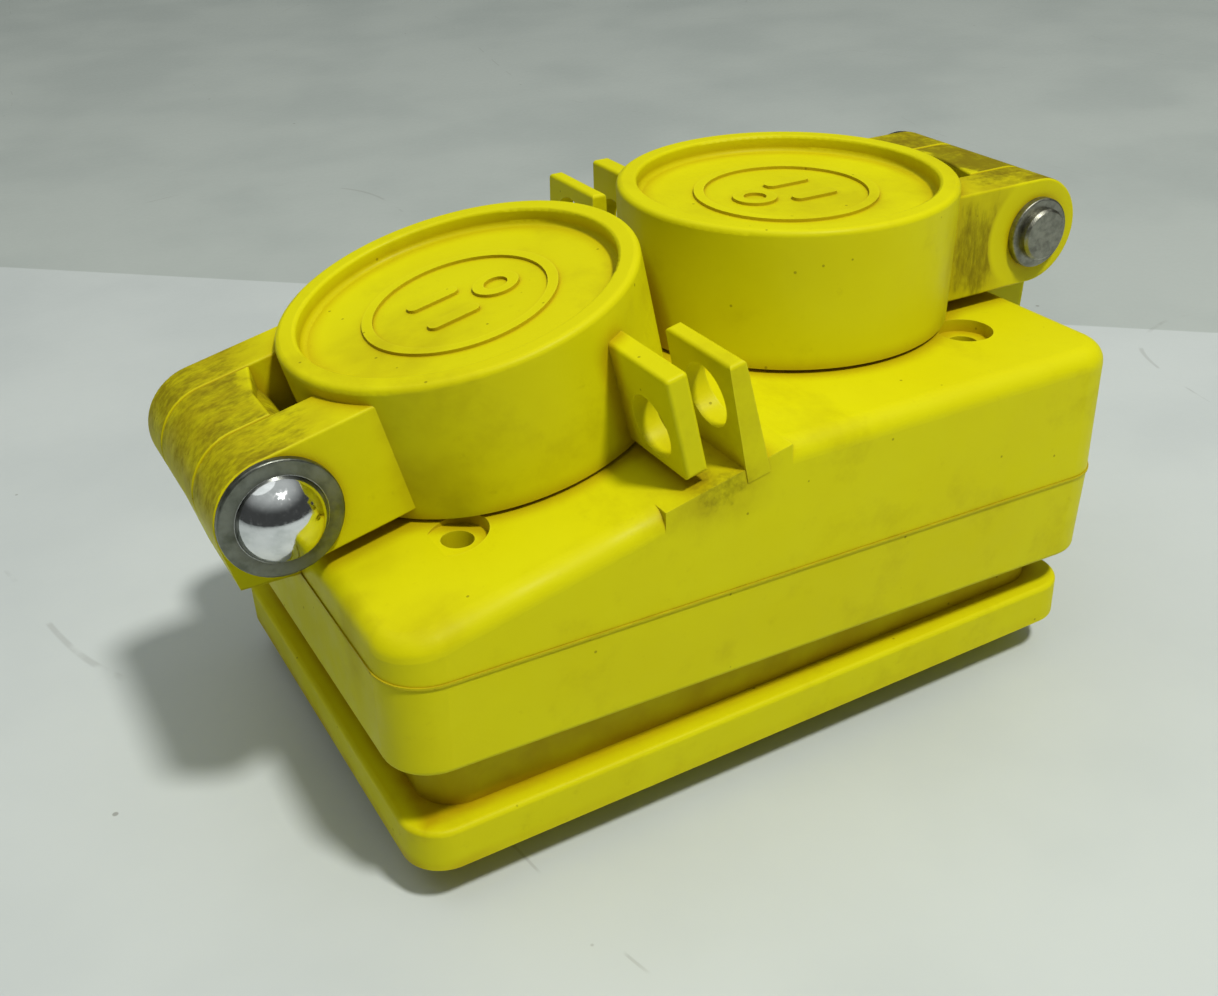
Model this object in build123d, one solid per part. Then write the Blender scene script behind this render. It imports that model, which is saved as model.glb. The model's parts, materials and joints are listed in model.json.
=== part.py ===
"""Duplex GFCI outlet with two flip lids, for a single-gang box. Millimetres, +Z up.

The origin is the centre of the four box screws, on the face of the mounting plate that lies on the box.
+X runs along the length and -Y is the side with the left lid's padlock tab.
Three frames are used. The plate, the rear cover and the circuit board are square to the origin.
The housing leans a little on its plate, so it has a frame of its own.
Each lid has a frame centred on the roof under it, with X towards its hinge and Z out of the roof.
"""
import os
from math import cos, radians, sin, tan

from build123d import *

LEFT, RIGHT = -1, 1
SIDE_NAMES = {LEFT: "left", RIGHT: "right"}
LONG = 200.0
WALL_OVERLAP = 1.0

# mounting plate
PLATE_LENGTH, PLATE_WIDTH, PLATE_THICKNESS = 112.7, 75.6, 6.4
PLATE_CORNER = 6.0
PLATE_OPENING_LENGTH, PLATE_OPENING_WIDTH, PLATE_OPENING_CORNER = 72.0, 54.0, 3.0
BOX_SCREW_SPACING_X, BOX_SCREW_SPACING_Y = 83.3, 44.45
BOX_SCREW_HOLE_R = 1.9
SCREW_BORE_R, COUNTERBORE_R = 2.2, 4.2

# housing
HOUSING_LEAN = 2.3
HOUSING_GAP = 7.9
HOUSING_LENGTH, HOUSING_WIDTH, HOUSING_CORNER = 116.0, 78.0, 7.0
HOUSING_WALL, ROOF_THICKNESS, LEDGE_THICKNESS = 4.0, 4.0, 3.0
SEAM_HEIGHT, DRAFT = 13.9, 1.2
FLASH_PROUD, FLASH_HEIGHT = 0.2, 0.35
RIDGE_X, RIDGE_HEIGHT = -1.65, 33.0
SLOPE = {LEFT: 13.8, RIGHT: -1.0}
ROOF_EDGE_FILLET, BOTTOM_FILLET = 3.0, 1.0
SHARP_EDGE_LENGTH = 19.0
NECK_LENGTH, NECK_WIDTH, NECK_WALL = 105.0, 68.0, 3.0
SCREW_BOSS_R = 4.6
COUNTERBORE_DEPTH = {LEFT: -0.3, RIGHT: 1.8}
MOULDED_EDGE = 0.4

# lids and their seats
LID_DISTANCE = {LEFT: 24.5, RIGHT: 25.8}
LID_TOP_R, LID_BOTTOM_R, LID_BORE_R = 25.45, 25.1, 22.8
LID_BOTTOM, LID_TOP = 0.6, 20.9
LID_RIM_WIDTH, LID_RECESS, LID_FLOOR = 3.1, 2.6, 3.3
EMBLEM_OUTER_R, EMBLEM_INNER_R, EMBLEM_HEIGHT = 13.8, 12.3, 0.45
COLLAR_R, COLLAR_BORE_R, COLLAR_TOP = 18.8, 17.4, 12.8
SEAL_OUTER_R, SEAL_INNER_R, SEAL_THICKNESS = 20.3, 15.6, 2.0

# hinges
PIN_X, PIN_Z, PIN_R = 35.3, 10.4, 4.0
PIN_RUNNING_CLEARANCE = 0.05
BARREL_R = 8.2
KNUCKLE_Y = (-8.7, 6.5)
NEAR_EAR_Y, FAR_EAR_Y = (6.8, 16.2), (-16.6, -9.0)
KNUCKLE_END_X, KNUCKLE_SLANT_X, KNUCKLE_SLANT_Y = 30.2, 28.4, -1.0
LEG_REACH = 8.3
WASHER_R, WASHER_THICKNESS, PIN_STUB = 5.4, 1.1, 1.3
CAP_FLANGE_R, CAP_FLANGE_THICKNESS, CAP_DOME_R, CAP_DOME_HEIGHT = 8.05, 1.0, 5.95, 4.3

# padlock tabs
LID_TAB_X, LID_TAB_THICKNESS, LID_TAB_REACH = -11.0, 3.2, 37.5
LID_TAB_BOTTOM, LID_TAB_TOP = 1.8, 16.4
LID_TAB_HOLE_Y, LID_TAB_HOLE_Z, LID_TAB_HOLE_R = 30.7, 7.0, 4.4
BODY_TAB_X, BODY_TAB_THICKNESS, BODY_TAB_FOOT_THICKNESS = -18.7, 2.4, 3.5
BODY_TAB_START, BODY_TAB_REACH, BODY_TAB_TOP = 24.0, 38.8, 15.0
BODY_TAB_HOLE_Y, BODY_TAB_HOLE_Z, BODY_TAB_HOLE_R = 31.8, 8.2, 4.5
TAB_EDGE = 0.6

# outlet inserts and contacts
INSERT_R, INSERT_TOP, INSERT_BOTTOM, INSERT_FACE = 17.2, 8.8, -14.0, 3.0
INSERT_FLANGE_R, INSERT_FLANGE_TOP, INSERT_FLANGE_THICKNESS = 19.4, -4.2, 2.0
BLADE_X, BLADE_Y, GROUND_X = -4.0, 6.35, 7.9
SLOT_WIDTH, HOT_SLOT_LENGTH, NEUTRAL_SLOT_LENGTH, GROUND_HOLE_R = 2.2, 7.2, 8.4, 2.7
POCKET_LENGTH, POCKET_WIDTH, GROUND_POCKET_R = 9.6, 5.2, 3.8
LEAF, BLADE_THICKNESS, CLIP_LENGTH = 0.8, 1.5, 7.6
CLIP_TOP, CLIP_BOTTOM = 5.2, -7.0
GROUND_CLIP_R = 3.2
BUS_HEIGHT, BUS_THICKNESS, BUS_WIDTH = 5.0, 1.0, 3.0

# test and reset buttons, in the rear wall
PANEL_X, PANEL_Z = 19.5, 22.0
PANEL_LENGTH, PANEL_HEIGHT, PANEL_THICKNESS, PANEL_CORNER = 42.0, 14.0, 1.5, 2.5
CAGE_LENGTH, CAGE_HEIGHT, CAGE_DEPTH, CAGE_WALL = 35.6, 9.6, 12.9, 1.2
CAGE_FIT = 0.2
WALL_FACE_Y = 38.9
BUTTON_SPACING, BUTTON_LENGTH, BUTTON_HEIGHT, BUTTON_PROUD = 17.0, 11.0, 6.4, 1.2
BUTTON_LIP, BUTTON_LIP_THICKNESS, BUTTON_FIT = 1.0, 1.2, 0.2
STEM_R, STEM_LENGTH, STEM_CLEARANCE, BUTTON_TRAVEL = 1.6, 13.0, 0.08, 1.5
SPRING_R, SPRING_WIRE_R, SPRING_TURNS = 2.5, 0.3, 6
LIGHT_R = 1.5

# rear cover, circuit board and its components
COVER_FIT, COVER_WALL, COVER_DEPTH, COVER_LIP = 0.3, 2.5, 6.5, 2.0
BOARD_LENGTH, BOARD_WIDTH, BOARD_THICKNESS, BOARD_Z = 72.0, 56.0, 1.6, 12.0
POST_X, POST_Y, POST_R = 30.0, 21.5, 2.5
WELL_X, WELL_Y, WELL_LENGTH, WELL_WIDTH, WELL_DEPTH = 21.0, 13.0, 12.0, 11.0, 4.8
TERMINAL_THICKNESS, TERMINAL_SCREW_R, TERMINAL_HEAD_R, TERMINAL_HEAD = 1.0, 1.9, 3.4, 2.2
SOLENOID_Y, SOLENOID_Z, COIL_R, COIL_LENGTH = -21.5, 20.5, 5.4, 14.0
PLUNGER_R, PLUNGER_LENGTH, PLUNGER_CLEARANCE = 2.0, 20.0, 0.08
TOROID_Y, TOROID_R, TOROID_HOLE_R, TOROID_HEIGHT = 19.0, 6.6, 3.0, 6.5

HOUSING_FRAME = Rot(0, HOUSING_LEAN, 0) * Pos(0, 0, PLATE_THICKNESS + HOUSING_GAP)


def lid_frame(side):
    """Frame of a lid inside the housing's frame."""
    slope = radians(SLOPE[side])
    outward = Vector(side * cos(slope), 0, -sin(slope))
    up = Vector(side * sin(slope), 0, cos(slope))
    centre = Vector(RIDGE_X, 0, RIDGE_HEIGHT) + outward * LID_DISTANCE[side]
    return Plane(origin=centre, x_dir=outward, z_dir=up).location


def outlet_frame(side):
    """Both outlets face the same way, so the left one is turned half round in its lid's frame."""
    return lid_frame(side) * Rot(0, 0, 180 if side == LEFT else 0)


def block(x, y, z):
    """Box between pairs of limits along X, Y and Z."""
    size = [limits[1] - limits[0] for limits in (x, y, z)]
    centre = [(limits[1] + limits[0]) / 2 for limits in (x, y, z)]
    return Pos(*centre) * Box(*size)


def upright(radius, bottom, top):
    """Cylinder along Z between two heights."""
    return Pos(0, 0, bottom) * Cylinder(radius, top - bottom, align=(Align.CENTER, Align.CENTER, Align.MIN))


def tube(outer, inner, bottom, top):
    return upright(outer, bottom, top) - upright(inner, bottom, top)


def rod_y(radius, start, end):
    """Cylinder along Y between two values of Y."""
    length = end - start
    return Pos(0, (start + end) / 2, 0) * Rot(90, 0, 0) * Cylinder(radius, length)


def slab(length, width, corner, bottom, top, taper=0):
    """Rounded rectangle extruded between two heights, narrowing upwards by the taper."""
    return extrude(Pos(0, 0, bottom) * RectangleRounded(length, width, corner), top - bottom, taper=taper)


def at_pin(shape):
    return Pos(PIN_X, 0, PIN_Z) * shape


def box_screw_places():
    return [Pos(x * BOX_SCREW_SPACING_X / 2, y * BOX_SCREW_SPACING_Y / 2, 0) for x in (-1, 1) for y in (-1, 1)]


def roof_cutter(side, drop=0.0):
    """Everything above one half of the roof, or above the same plane dropped by that much."""
    return lid_frame(side) * block((-LONG, LONG), (-LONG, LONG), (-drop, LONG))


def outer_block():
    """Outside of the housing with its draft and both roofs, before any edge is rounded."""
    plan = Pos(0, 0, SEAM_HEIGHT) * RectangleRounded(HOUSING_LENGTH, HOUSING_WIDTH, HOUSING_CORNER)
    body = extrude(plan, RIDGE_HEIGHT, taper=DRAFT)
    body += extrude(plan, SEAM_HEIGHT, dir=(0, 0, -1), taper=DRAFT)
    for side in (LEFT, RIGHT):
        body -= roof_cutter(side)
    return body


def is_roof_edge(edge):
    """True for an edge round the outside of the roof, false for the ridge and all others."""
    on_roof = any(
        all(abs((lid_frame(side).inverse() * Pos(*(edge @ t))).position.Z) < 0.01 for t in (0, 0.5, 1))
        for side in (LEFT, RIGHT)
    )
    middle = edge @ 0.5
    is_ridge = abs(middle.X - RIDGE_X) < 1 and abs(middle.Y) < 1
    return on_roof and not is_ridge


def rounded_block():
    """Outer block with rounded roof and bottom edges; the roof edge stays sharp beside each body tab."""
    sharp = outer_block()
    soft = fillet([edge for edge in sharp.edges() if is_roof_edge(edge)], ROOF_EDGE_FILLET)
    soft = fillet(soft.faces().sort_by(Axis.Z)[0].edges(), BOTTOM_FILLET)
    front = block(
        (RIDGE_X - SHARP_EDGE_LENGTH, RIDGE_X),
        (-HOUSING_WIDTH / 2, -HOUSING_WIDTH / 2 + 2 * ROOF_EDGE_FILLET),
        (SEAM_HEIGHT + WALL_OVERLAP, LONG),
    )
    rear = Pos(2 * RIDGE_X, 0, 0) * Rot(0, 0, 180) * front
    return soft + (sharp & front) + (sharp & rear)


def flash_line():
    """Fine raised line round the housing where the mould halves meet."""
    bottom = SEAM_HEIGHT - FLASH_HEIGHT / 2
    proud = 2 * FLASH_PROUD
    length, width = HOUSING_LENGTH + proud, HOUSING_WIDTH + proud
    rim = slab(length, width, HOUSING_CORNER + FLASH_PROUD, bottom, bottom + FLASH_HEIGHT)
    inside = HOUSING_WALL / 2
    return rim - slab(
        HOUSING_LENGTH - inside, HOUSING_WIDTH - inside, HOUSING_CORNER - inside / 2, bottom, bottom + FLASH_HEIGHT
    )


def housing_cavity():
    """Hollow under the roof, and the narrower way down through the neck."""
    walls = 2 * HOUSING_WALL
    cavity = slab(
        HOUSING_LENGTH - walls, HOUSING_WIDTH - walls, HOUSING_CORNER - HOUSING_WALL / 2, LEDGE_THICKNESS, LONG
    )
    for side in (LEFT, RIGHT):
        cavity -= roof_cutter(side, ROOF_THICKNESS)
    neck_hole = slab(
        NECK_LENGTH - 2 * NECK_WALL, NECK_WIDTH - 2 * NECK_WALL, HOUSING_CORNER - NECK_WALL, -LONG, LEDGE_THICKNESS
    )
    return cavity + neck_hole


def knuckle():
    """Fixed middle of a hinge in the lid's frame, cut slanting where it faces the lid."""
    low, high = KNUCKLE_Y
    plan = Polyline(
        (KNUCKLE_SLANT_X, low),
        (PIN_X, low),
        (PIN_X, high),
        (KNUCKLE_END_X, high),
        (KNUCKLE_END_X, KNUCKLE_SLANT_Y),
        (KNUCKLE_SLANT_X, low),
    )
    shoulder = extrude(Pos(0, 0, -ROOF_THICKNESS / 2) * make_face(plan), PIN_Z + BARREL_R + ROOF_THICKNESS / 2)
    solid = shoulder + at_pin(rod_y(BARREL_R, low, high))
    top = solid.edges().filter_by(lambda edge: (edge @ 0.5).Z > PIN_Z + BARREL_R - 0.01)
    return fillet(top, MOULDED_EDGE)


def knuckle_leg(side):
    """Leg that carries the knuckle, from the seam up the end wall to the barrel, in the housing's frame."""
    pin = (lid_frame(side) * Pos(PIN_X, 0, PIN_Z)).position
    wall = HOUSING_LENGTH / 2 - HOUSING_WALL / 2
    foot = HOUSING_LENGTH / 2 + LEG_REACH
    outline = Polyline(
        (side * wall, 0, SEAM_HEIGHT),
        (side * foot, 0, SEAM_HEIGHT),
        (pin.X + side * BARREL_R, 0, pin.Z),
        (pin.X, 0, pin.Z + BARREL_R / 2),
        (side * wall, 0, pin.Z - BARREL_R),
        (side * wall, 0, SEAM_HEIGHT),
    )
    widths = sorted(side * y for y in KNUCKLE_Y)
    leg = extrude(make_face(outline), LONG, both=True)
    return leg & block((-LONG, LONG), widths, (-LONG, LONG))


def rod_x(radius, length):
    """Cylinder along X, centred on the origin."""
    return Rot(0, 90, 0) * Cylinder(radius, length)


def body_tab():
    """Padlock tab that stands on the roof and thickens towards its foot."""
    top, foot, sunk = BODY_TAB_THICKNESS / 2, BODY_TAB_FOOT_THICKNESS / 2, -ROOF_THICKNESS / 2
    outline = Polyline(
        (BODY_TAB_X - foot, 0, sunk),
        (BODY_TAB_X + foot, 0, sunk),
        (BODY_TAB_X + top, 0, BODY_TAB_TOP),
        (BODY_TAB_X - top, 0, BODY_TAB_TOP),
        (BODY_TAB_X - foot, 0, sunk),
    )
    tab = extrude(make_face(outline), LONG, both=True)
    tab &= block((-LONG, LONG), (BODY_TAB_START, BODY_TAB_REACH), (-LONG, LONG))
    tab = fillet(tab.faces().sort_by(Axis.Z)[-1].edges(), TAB_EDGE)
    hole = rod_x(BODY_TAB_HOLE_R, 3 * BODY_TAB_FOOT_THICKNESS)
    return tab - Pos(BODY_TAB_X, BODY_TAB_HOLE_Y, BODY_TAB_HOLE_Z) * hole


def panel_opening():
    """Opening in the rear wall for the cage behind the button panel."""
    length, height = CAGE_LENGTH + 2 * CAGE_FIT, CAGE_HEIGHT + 2 * CAGE_FIT
    return block(
        (PANEL_X - length / 2, PANEL_X + length / 2),
        (WALL_FACE_Y - 2 * HOUSING_WALL, LONG),
        (PANEL_Z - height / 2, PANEL_Z + height / 2),
    )


def panel_seat():
    """Flat on the rear wall that the panel lies on."""
    return block(
        (PANEL_X - PANEL_LENGTH / 2, PANEL_X + PANEL_LENGTH / 2),
        (WALL_FACE_Y, LONG),
        (PANEL_Z - PANEL_HEIGHT / 2, PANEL_Z + PANEL_HEIGHT / 2),
    )


def make_housing():
    neck = slab(NECK_LENGTH, NECK_WIDTH, HOUSING_CORNER - 1, -2 * HOUSING_GAP, 1)
    solid = rounded_block() + neck
    shell = solid + flash_line() - housing_cavity()
    for side in (LEFT, RIGHT):
        frame = lid_frame(side)
        pin_bore = at_pin(rod_y(PIN_R, -LONG, LONG))
        collar = upright(COLLAR_R, -ROOF_THICKNESS / 2, COLLAR_TOP)
        shell += frame * collar + frame * knuckle() + knuckle_leg(side) + frame * body_tab()
        shell -= frame * upright(COLLAR_BORE_R, -2 * ROOF_THICKNESS, COLLAR_TOP)
        shell -= frame * pin_bore
    shell -= panel_opening() + panel_seat()
    bosses = [place * upright(SCREW_BOSS_R, -LONG, LONG) for place in box_screw_places()]
    shell += solid & Compound(bosses)
    for place in box_screw_places():
        shell -= place * upright(SCREW_BORE_R, -LONG, LONG)
        shell -= place * upright(COUNTERBORE_R, counterbore_floor(place.position.X), LONG)
    return HOUSING_FRAME * shell - block((-LONG, LONG), (-LONG, LONG), (-LONG, PLATE_THICKNESS))


def roof_height(x):
    side = LEFT if x < RIDGE_X else RIGHT
    return RIDGE_HEIGHT - side * (x - RIDGE_X) * tan(radians(SLOPE[side]))


def counterbore_floor(x):
    """The floor lies square to the screw, so its depth counts from the lowest part of the roof round it."""
    lowest = min(roof_height(x - COUNTERBORE_R), roof_height(x + COUNTERBORE_R))
    return lowest - COUNTERBORE_DEPTH[LEFT if x < RIDGE_X else RIGHT]


def make_plate():
    plate = slab(PLATE_LENGTH, PLATE_WIDTH, PLATE_CORNER, 0, PLATE_THICKNESS)
    rim = plate.faces().sort_by(Axis.Z)[-1].edges()
    plate = fillet(rim, 0.8)
    plate -= slab(PLATE_OPENING_LENGTH, PLATE_OPENING_WIDTH, PLATE_OPENING_CORNER, -1, PLATE_THICKNESS + 1)
    for place in box_screw_places():
        plate -= place * upright(BOX_SCREW_HOLE_R, -1, PLATE_THICKNESS + 1)
    return plate


def lid_shell():
    """Cap with a raised rim, its wall a little wider at the top."""
    rim_r, floor = LID_TOP_R - LID_RIM_WIDTH, LID_TOP - LID_RECESS
    section = Polygon(
        (LID_BORE_R, LID_BOTTOM),
        (LID_BOTTOM_R, LID_BOTTOM),
        (LID_TOP_R, LID_TOP),
        (rim_r, LID_TOP),
        (rim_r, floor),
        (0, floor),
        (0, floor - LID_FLOOR),
        (LID_BORE_R, floor - LID_FLOOR),
        align=None,
    )
    for x, z, radius in ((LID_TOP_R, LID_TOP, 0.9), (rim_r, LID_TOP, 0.5), (rim_r, floor, 0.8)):
        corner = section.vertices().sort_by_distance((x, z, 0))[0]
        section = fillet(corner, radius)
    return revolve(Rot(90, 0, 0) * section, Axis.Z)


def emblem():
    """Raised ring with a plain outlet symbol inside."""
    floor = LID_TOP - LID_RECESS
    low, high = floor - 0.2, floor + EMBLEM_HEIGHT
    marks = tube(EMBLEM_OUTER_R, EMBLEM_INNER_R, low, high)
    for y in (-3.6, 3.6):
        marks += Pos(2.6, y, 0) * slab(7.6, 2.2, 1.0, low, high)
    marks += Pos(-5.6, 0, 0) * tube(3.3, 1.7, low, high)
    return marks


def ear(limits):
    """Block from the lid's wall to a rounded end about the pin, its edges softened."""
    bottom, top = PIN_Z - BARREL_R, PIN_Z + BARREL_R
    arm = block((LID_BORE_R / 2, PIN_X), limits, (bottom, top)) + at_pin(rod_y(BARREL_R, *limits))
    sides = arm.faces().filter_by(Axis.Y)
    return fillet([edge for side in sides for edge in side.edges()], MOULDED_EDGE)


def lid_tab():
    tab = block(
        (LID_TAB_X - LID_TAB_THICKNESS / 2, LID_TAB_X + LID_TAB_THICKNESS / 2),
        (LID_BORE_R / 2, LID_TAB_REACH),
        (LID_TAB_BOTTOM, LID_TAB_TOP),
    )
    outer = tab.faces().sort_by(Axis.Y)[-1].edges()
    top = tab.faces().sort_by(Axis.Z)[-1].edges().filter_by(Axis.Y)
    tab = fillet(outer + top, TAB_EDGE)
    return tab - Pos(LID_TAB_X, LID_TAB_HOLE_Y, LID_TAB_HOLE_Z) * rod_x(LID_TAB_HOLE_R, 3 * LID_TAB_THICKNESS)


def make_lid():
    """A lid with its ears, padlock tab and emblem, in its own frame."""
    extras = ear(NEAR_EAR_Y) + ear(FAR_EAR_Y) + lid_tab()
    extras -= upright((LID_BORE_R + LID_BOTTOM_R) / 2, 0, LID_TOP)
    lid = lid_shell() + extras
    lid -= at_pin(rod_y(PIN_R + PIN_RUNNING_CLEARANCE, -LONG, LONG))
    return lid + emblem()


def make_lid_seal():
    underside = LID_TOP - LID_RECESS - LID_FLOOR
    return tube(SEAL_OUTER_R, SEAL_INNER_R, underside - SEAL_THICKNESS, underside)


def make_pin():
    """Pin through both ears and the knuckle, its plain end standing out of the washer."""
    end = FAR_EAR_Y[0] - WASHER_THICKNESS - PIN_STUB
    shaft = rod_y(PIN_R, end, NEAR_EAR_Y[1] + 2 * CAP_FLANGE_THICKNESS)
    return at_pin(chamfer(shaft.edges().sort_by(Axis.Y)[0], 0.4))


def make_washer():
    face = FAR_EAR_Y[0]
    ring = rod_y(WASHER_R, face - WASHER_THICKNESS, face)
    ring = fillet(ring.edges().sort_by(Axis.Y)[0], 0.3)
    return at_pin(ring - rod_y(PIN_R, -LONG, LONG))


def make_cap():
    """Push-on cap nut: a flat flange with a hollow dome over the end of the pin."""
    face = NEAR_EAR_Y[1]
    flange = rod_y(CAP_FLANGE_R, face, face + CAP_FLANGE_THICKNESS)
    flange = fillet(flange.edges().sort_by(Axis.Y)[-1], 0.3)
    base = face + CAP_FLANGE_THICKNESS - 0.1
    ball_r = (CAP_DOME_R ** 2 + CAP_DOME_HEIGHT ** 2) / (2 * CAP_DOME_HEIGHT)
    ball = Pos(0, base + CAP_DOME_HEIGHT - ball_r, 0) * Sphere(ball_r)
    dome = ball & block((-LONG, LONG), (base, LONG), (-LONG, LONG))
    hollow = rod_y(PIN_R, face - 1, NEAR_EAR_Y[1] + 2 * CAP_FLANGE_THICKNESS)
    return at_pin(flange + dome - hollow)


def make_outlet_body():
    """Flanged body under an outlet's face, with a pocket for each contact."""
    body = upright(INSERT_R, INSERT_BOTTOM, INSERT_TOP - INSERT_FACE)
    body += upright(INSERT_FLANGE_R, INSERT_FLANGE_TOP - INSERT_FLANGE_THICKNESS, INSERT_FLANGE_TOP)
    for y in (-BLADE_Y, BLADE_Y):
        body -= Pos(BLADE_X, y, 0) * block(
            (-POCKET_LENGTH / 2, POCKET_LENGTH / 2), (-POCKET_WIDTH / 2, POCKET_WIDTH / 2), (-LONG, LONG)
        )
    return body - Pos(GROUND_X, 0, 0) * upright(GROUND_POCKET_R, -LONG, LONG)


def make_outlet_face():
    """Disc with the blade slots and the ground hole."""
    face = upright(INSERT_R, INSERT_TOP - INSERT_FACE, INSERT_TOP)
    face = chamfer(face.edges().sort_by(Axis.Z)[-1], 0.6)
    half = SLOT_WIDTH / 2
    depth = (0, LONG)
    hot = block((-HOT_SLOT_LENGTH / 2, HOT_SLOT_LENGTH / 2), (-half, half), depth)
    neutral = block((-NEUTRAL_SLOT_LENGTH / 2, NEUTRAL_SLOT_LENGTH / 2), (-half, half), depth)
    neutral += block((-half, half), (-POCKET_WIDTH / 2, 0), depth)
    face -= Pos(BLADE_X, BLADE_Y, 0) * hot
    face -= Pos(BLADE_X, -BLADE_Y, 0) * neutral
    return face - Pos(GROUND_X, 0, 0) * upright(GROUND_HOLE_R, 0, LONG)


def blade_clip():
    """Pair of leaves that grip a blade, joined at the bottom."""
    half = BLADE_THICKNESS / 2
    clip = block((-CLIP_LENGTH / 2, CLIP_LENGTH / 2), (-half - LEAF, half + LEAF), (CLIP_BOTTOM, CLIP_TOP))
    return clip - block((-LONG, LONG), (-half, half), (CLIP_BOTTOM + LEAF, LONG))


def ground_clip():
    """Sleeve that grips a ground pin, closed at the bottom."""
    clip = upright(GROUND_CLIP_R, CLIP_BOTTOM, CLIP_TOP)
    return clip - upright(GROUND_CLIP_R - LEAF, CLIP_BOTTOM + LEAF, LONG)


def make_bus(clip, x, y):
    """One polarity: a clip for each outlet, their risers, and the bar that joins them."""
    above = block((-LONG, LONG), (-LONG, LONG), (BUS_HEIGHT, LONG))
    bus = None
    ends = []
    for side in (LEFT, RIGHT):
        place = outlet_frame(side) * Pos(x, y, 0)
        half = BUS_WIDTH / 2
        riser = block((-half, half), (-LEAF / 2, LEAF / 2), (-LONG, CLIP_BOTTOM + LEAF / 2))
        piece = place * clip + ((place * riser) & above)
        drop = (place.position.Z - BUS_HEIGHT) / cos(radians(SLOPE[side]))
        ends.append((place * Pos(0, 0, -drop)).position.X)
        bus = piece if bus is None else bus + piece
    bar = block(
        (ends[0] - BUS_WIDTH, ends[1] + BUS_WIDTH),
        (-BUS_WIDTH / 2, BUS_WIDTH / 2),
        (BUS_HEIGHT - BUS_THICKNESS, BUS_HEIGHT + 0.1),
    )
    return bus + Pos(0, y, 0) * bar


def button_places():
    return [Pos(PANEL_X + step * BUTTON_SPACING / 2, 0, PANEL_Z) for step in (-1, 1)]


def flat_block(length, depth, height, corner):
    """Rounded block whose rounded outline faces along Y, between two values of Y."""
    start, end = depth
    outline = Plane.XZ.offset(-start) * RectangleRounded(length, height, corner)
    return extrude(outline, end - start, dir=(0, 1, 0))


def make_panel():
    """Face plate with a cage behind it that guides both buttons."""
    face = (WALL_FACE_Y, WALL_FACE_Y + PANEL_THICKNESS)
    plate = flat_block(PANEL_LENGTH, face, PANEL_HEIGHT, PANEL_CORNER)
    plate = fillet(plate.faces().sort_by(Axis.Y)[-1].edges(), 0.5)
    cage = flat_block(CAGE_LENGTH, (WALL_FACE_Y - CAGE_DEPTH, WALL_FACE_Y), CAGE_HEIGHT, 1.0)
    inside = flat_block(
        CAGE_LENGTH - 2 * CAGE_WALL,
        (WALL_FACE_Y - CAGE_DEPTH + CAGE_WALL, WALL_FACE_Y),
        CAGE_HEIGHT - 2 * CAGE_WALL,
        0.5,
    )
    panel = Pos(PANEL_X, 0, PANEL_Z) * (plate + cage - inside)
    opening = flat_block(BUTTON_LENGTH + 2 * BUTTON_FIT, (WALL_FACE_Y - 1, LONG), BUTTON_HEIGHT + 2 * BUTTON_FIT, 1.2)
    for place in button_places():
        panel -= place * opening
        panel -= place * rod_y(STEM_R + STEM_CLEARANCE, 0, WALL_FACE_Y - CAGE_DEPTH / 2)
    return panel - Pos(PANEL_X, 0, PANEL_Z) * rod_y(LIGHT_R, WALL_FACE_Y - 1, LONG)


def make_button():
    """Head, retaining lip and guide stem of one button."""
    lip_back = WALL_FACE_Y - 0.1 - BUTTON_LIP_THICKNESS
    top = WALL_FACE_Y + PANEL_THICKNESS + BUTTON_PROUD
    head = flat_block(BUTTON_LENGTH, (lip_back, top), BUTTON_HEIGHT, 1.0)
    head = fillet(head.faces().sort_by(Axis.Y)[-1].edges(), 0.6)
    lip = flat_block(
        BUTTON_LENGTH + 2 * BUTTON_LIP, (lip_back, lip_back + BUTTON_LIP_THICKNESS), BUTTON_HEIGHT, 0.5
    )
    return head + lip + rod_y(STEM_R, lip_back - STEM_LENGTH, lip_back)


def make_spring():
    """Coil round a button's stem, as long as it is when the button is pressed."""
    seat = WALL_FACE_Y - CAGE_DEPTH + CAGE_WALL + SPRING_WIRE_R
    lip_back = WALL_FACE_Y - 0.1 - BUTTON_LIP_THICKNESS
    height = lip_back - BUTTON_TRAVEL - SPRING_WIRE_R - seat
    path = Helix(pitch=height / SPRING_TURNS, height=height, radius=SPRING_R)
    profile = Plane(origin=path @ 0, z_dir=path % 0) * Circle(SPRING_WIRE_R)
    coil = sweep(profile, path=path, is_frenet=True)
    return Pos(0, seat, 0) * Rot(-90, 0, 0) * coil


def make_light():
    """Clear pin of the indicator light, with a flange behind the panel."""
    face = WALL_FACE_Y + PANEL_THICKNESS
    lens = rod_y(LIGHT_R, WALL_FACE_Y - 4, face + 0.5)
    lens = fillet(lens.edges().sort_by(Axis.Y)[-1], 0.45)
    return Pos(PANEL_X, 0, PANEL_Z) * lens


def well_places():
    corners = [(x * WELL_X, y * WELL_Y) for y in (1, -1) for x in (-1, 1)]
    return [Pos(x, y, 0) for x, y in corners + [(0, 0)]]


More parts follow.
